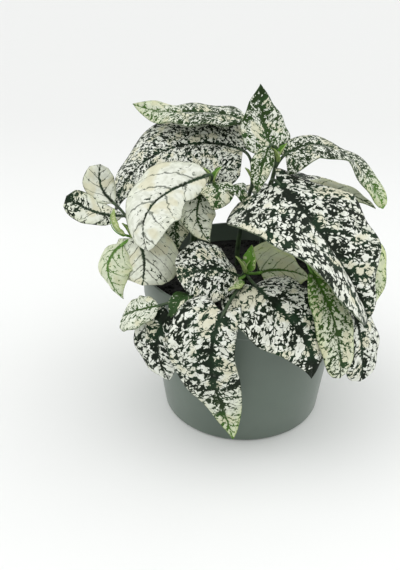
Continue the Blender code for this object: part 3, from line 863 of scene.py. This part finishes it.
class PLANT_OT_add_pot(bpy.types.Operator):
    """Adds the nursery pot with its collar, rounded lip and drain holes"""

    bl_idname = "plant.add_pot"
    bl_label = "Add pot"

    def execute(self, context):
        sizes = context.scene.plant_pot
        bm = bmesh.new()
        profile = self.profile(sizes)
        verts = [bm.verts.new((r, 0.0, z)) for r, z in profile]
        edges = [bm.edges.new(pair) for pair in zip(verts, verts[1:])]
        bmesh.ops.spin(bm, geom=verts + edges, cent=(0, 0, 0), axis=(0, 0, 1),
                       angle=2 * math.pi, steps=POT_SIDES, use_merge=True, use_duplicate=False)
        bmesh.ops.remove_doubles(bm, verts=bm.verts, dist=MERGE)
        bmesh.ops.recalc_face_normals(bm, faces=bm.faces)
        pot = piece_from(bm, "nursery_pot", [pot_plastic(sizes)])
        self.cut_drain_holes(pot)
        pot.data.set_sharp_from_angle(angle=SHARP_EDGE)
        settle(pot, "pot")
        return {"FINISHED"}

    def cut_drain_holes(self, pot):
        """Cuts a ring of round holes through the floor, for good."""
        bm = bmesh.new()
        for i in range(DRAIN_HOLES):
            turn = 2 * math.pi * (i + 0.5) / DRAIN_HOLES
            spot = (DRAIN_CIRCLE * math.cos(turn), DRAIN_CIRCLE * math.sin(turn), 0.0)
            bmesh.ops.create_cone(bm, cap_ends=True, segments=32, radius1=DRAIN_RADIUS,
                                  radius2=DRAIN_RADIUS, depth=CUTTER_HEIGHT,
                                  matrix=Matrix.Translation(spot))
        cutter = piece_from(bm, "drain_cutter", [], smooth=False)
        holes = pot.modifiers.new("drain_holes", "BOOLEAN")
        holes.operation = "DIFFERENCE"
        holes.solver = "EXACT"
        holes.object = cutter
        view = bpy.context.evaluated_depsgraph_get()
        mesh = bpy.data.meshes.new_from_object(pot.evaluated_get(view))
        pot.modifiers.clear()
        pot.data = mesh
        bpy.data.objects.remove(cutter)

    def profile(self, sizes):
        """The pot's outline as (radius, height), from inside the floor over the lip to the base."""
        high = sizes.height
        under = high - sizes.collar_height
        wall = sizes.wall
        rim = sizes.rim_radius

        def outer(z):
            return sizes.base_radius + (rim - sizes.collar_step - sizes.base_radius) * z / under

        floor = FLOOR_THICKNESS
        fillet = FOOT_FILLET
        points = [(0.0, floor), (outer(floor) - wall - fillet, floor),
                  (outer(floor + fillet) - wall, floor + fillet),
                  (outer(under) - wall, under), (rim - wall, under + sizes.collar_step)]
        lip = wall / 2
        for i in range(LIP_STEPS + 1):
            a = math.pi * i / LIP_STEPS
            points.append((rim - lip - lip * math.cos(a), high - lip + lip * math.sin(a)))
        soft = COLLAR_EDGE
        points += [(rim, under + soft), (rim - soft / 4, under + soft / 3),
                   (rim - soft * 2 / 3, under), (outer(under) + soft / 6, under - soft / 12),
                   (outer(under), under - soft / 2)]
        for i in range(FOOT_STEPS + 1):
            a = math.pi / 2 * i / FOOT_STEPS
            points.append((outer(fillet) - fillet * (1 - math.cos(a)),
                           fillet * (1 - math.sin(a))))
        points.append((0.0, 0.0))
        return points


class PLANT_OT_add_soil(bpy.types.Operator):
    """Adds the potting soil with crumbs on its surface"""

    bl_idname = "plant.add_soil"
    bl_label = "Add soil"

    def execute(self, context):
        sizes = context.scene.plant_soil
        pot = context.scene.plant_pot
        finish = potting_soil(sizes)
        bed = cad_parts["soil"]
        for slot in bed.material_slots:
            slot.material = finish
        draws = random.Random(SOIL_SEED)
        bm = bmesh.new()
        reach = pot.rim_radius - pot.wall - CRUMB_MARGIN
        for _ in range(sizes.grains):
            radius = sizes.grain_size * draws.choice(CRUMB_SIZES)
            from_axis = reach * math.sqrt(draws.random())
            turn = draws.uniform(0, 2 * math.pi)
            crown = SOIL_CROWN * (1 - (from_axis / reach) ** 2)
            spot = Vector((from_axis * math.cos(turn), from_axis * math.sin(turn),
                           SOIL_HIGH.z - CRUMB_DEPTH + crown))
            stretch = (draws.uniform(0.7, 1.3), draws.uniform(0.7, 1.3), draws.uniform(0.5, 1.0), 1)
            grow = Matrix.Diagonal(stretch)
            spin = Matrix.Rotation(draws.uniform(0, 6), 4, (draws.random(), draws.random(), 1))
            place = Matrix.Translation(spot) @ spin @ grow
            made = bmesh.ops.create_icosphere(bm, subdivisions=1, radius=radius, matrix=place)
            for vert in made["verts"]:
                shift = Vector([draws.uniform(-1, 1) for _ in range(3)])
                vert.co += shift * radius * CRUMB_ROUGHNESS
        crumbs = piece_from(bm, "soil_crumbs", [finish])
        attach(crumbs, "root")
        return {"FINISHED"}


class PLANT_OT_add_shoots(bpy.types.Operator):
    """Adds the nine leafy shoots with their stems, petioles, leaves and growing tips"""

    bl_idname = "plant.add_shoots"
    bl_label = "Add shoots"

    def execute(self, context):
        look = context.scene.plant_leaf
        materials = [splashed_leaf(look, "splashed_leaf", True),
                     splashed_leaf(look, "leaf_underside", False),
                     green_stem(), fresh_stem(look)]
        draws = random.Random(WAVE_SEED)
        seed = 1
        for name, shoot in SHOOTS.items():
            path = Path(shoot["stem"])
            blades = bmesh.new()
            stalks = bmesh.new()
            for layer in ("place", "span", "tone"):
                blades.verts.layers.float_vector.new(layer)
            self.add_stem(stalks, path, look)
            for i, row in enumerate(shoot["leaves"] + bud_rows(path)):
                blade = Blade(row, draws.uniform(0, 2 * math.pi), seed, look)
                blade.add(blades)
                seed += 1
                if i < len(shoot["leaves"]):
                    self.add_stalk(stalks, row, petiole_start(path, row["node"], i), blade, look)
            leaves = piece_from(blades, name + "_leaves", materials)
            shell = leaves.modifiers.new("thickness", "SOLIDIFY")
            shell.thickness = look.thickness
            shell.offset = 0.0
            shell.material_offset = UNDERSIDE_SLOT
            shell.material_offset_rim = UNDERSIDE_SLOT
            settle(leaves, name)
            stems = piece_from(stalks, name + "_stems", materials)
            settle(stems, name)
        return {"FINISHED"}

    def add_stem(self, bm, path, look):
        """The stem, which is straight in the soil and a third thinner at its tip."""
        points = [path.at(i / STEM_STEPS) for i in range(STEM_STEPS + 1)]
        foot = points[0]
        for point in points:
            if point.z < STEM_STRAIGHT:
                point.x = foot.x
                point.y = foot.y
        radius = look.stem_radius / MM
        radii = [radius * (1 - i / STEM_STEPS / 3) for i in range(STEM_STEPS + 1)]
        add_tube(bm, points, radii, STEM_SLOT)

    def add_stalk(self, bm, row, start, blade, look):
        """The petiole and, under the blade, the midrib that thins out towards the tip."""
        points = petiole_points(row, start)
        radius = look.petiole_radius / MM
        small = min(1.0, row["width"] / FULL_STALK_WIDTH)
        radii = [radius * (0.6 + 0.4 * small)] * len(points)
        for i in range(1, RIB_STEPS + 1):
            spot, up = blade.point(RIB_END * i / RIB_STEPS, 0.0)[:2]
            points.append(spot - up * RIB_DEPTH)
            radii.append(radius * small * (0.9 - 0.7 * i / RIB_STEPS))
        slot = YOUNG_STEM_SLOT if mixed(row["glow"], 0) > YOUNG_GLOW else STEM_SLOT
        add_tube(bm, points, radii, slot)


class PLANT_OT_add_stage(bpy.types.Operator):
    """Adds the pale floor, the soft light and the camera"""

    bl_idname = "plant.add_stage"
    bl_label = "Add stage"

    def execute(self, context):
        stage = context.scene.plant_stage
        bm = bmesh.new()
        bmesh.ops.create_grid(bm, x_segments=1, y_segments=1, size=stage.floor_size / 2)
        floor = piece_from(bm, "floor", [pale_floor(stage)], smooth=False)
        for name, (source, strength, spread) in LAMPS.items():
            self.add_lamp(name, source, strength, spread)
        self.add_daylight(stage)
        self.add_camera(stage)
        return {"FINISHED"}

    def add_lamp(self, name, source, strength, spread):
        """A wide, even light from the direction of a far source."""
        lamp = bpy.data.lights.new(name, "SUN")
        lamp.energy = strength
        lamp.angle = spread
        holder = bpy.data.objects.new(name, lamp)
        holder.rotation_euler = Vector(source).to_track_quat("Z", "Y").to_euler()
        bpy.context.scene.collection.objects.link(holder)

    def add_daylight(self, stage):
        """An even white light from all round, which is the backdrop too."""
        world = bpy.data.worlds.new("daylight")
        world.use_nodes = True
        sky = world.node_tree.nodes["Background"]
        sky.inputs["Color"].default_value = (1.0, 1.0, 1.0, 1.0)
        sky.inputs["Strength"].default_value = stage.daylight
        bpy.context.scene.world = world

    def add_camera(self, stage):
        lens = bpy.data.cameras.new("camera")
        lens.lens = stage.lens
        lens.sensor_width = SENSOR_WIDTH
        lens.clip_start = CLIP_START
        camera = bpy.data.objects.new("camera", lens)
        camera.location = (0.0, -stage.camera_distance, stage.camera_height)
        camera.rotation_euler = (math.pi / 2 - stage.camera_pitch, 0.0, stage.camera_yaw)
        bpy.context.scene.collection.objects.link(camera)
        bpy.context.scene.camera = camera
        bpy.context.scene.view_settings.view_transform = "Standard"


class PLANT_PT_panel(bpy.types.Panel):
    """The plant's sizes and colours, and a button for each of its parts"""

    bl_label = "Potted polka dot plant"
    bl_space_type = "VIEW_3D"
    bl_region_type = "UI"
    bl_category = "Plant"

    def draw(self, context):
        groups = (
            ("plant.add_pot", "plant_pot"),
            ("plant.add_soil", "plant_soil"),
            ("plant.add_shoots", "plant_leaf"),
            ("plant.add_stage", "plant_stage"),
        )
        for button, group in groups:
            box = self.layout.box()
            settings = getattr(context.scene, group)
            for name in settings.__annotations__:
                box.prop(settings, name)
            box.operator(button)


CLASSES = (PotSettings, SoilSettings, LeafSettings, StageSettings, PLANT_OT_add_pot,
           PLANT_OT_add_soil, PLANT_OT_add_shoots, PLANT_OT_add_stage, PLANT_PT_panel)


def register():
    for part in CLASSES:
        bpy.utils.register_class(part)
    bpy.types.Scene.plant_pot = PointerProperty(type=PotSettings)
    bpy.types.Scene.plant_soil = PointerProperty(type=SoilSettings)
    bpy.types.Scene.plant_leaf = PointerProperty(type=LeafSettings)
    bpy.types.Scene.plant_stage = PointerProperty(type=StageSettings)


def unregister():
    del bpy.types.Scene.plant_stage
    del bpy.types.Scene.plant_leaf
    del bpy.types.Scene.plant_soil
    del bpy.types.Scene.plant_pot
    for part in reversed(CLASSES):
        bpy.utils.unregister_class(part)


def main():
    register()
    bpy.ops.plant.add_pot()
    bpy.ops.plant.add_soil()
    bpy.ops.plant.add_shoots()
    bpy.ops.plant.add_stage()


if __name__ == "__main__":
    main()
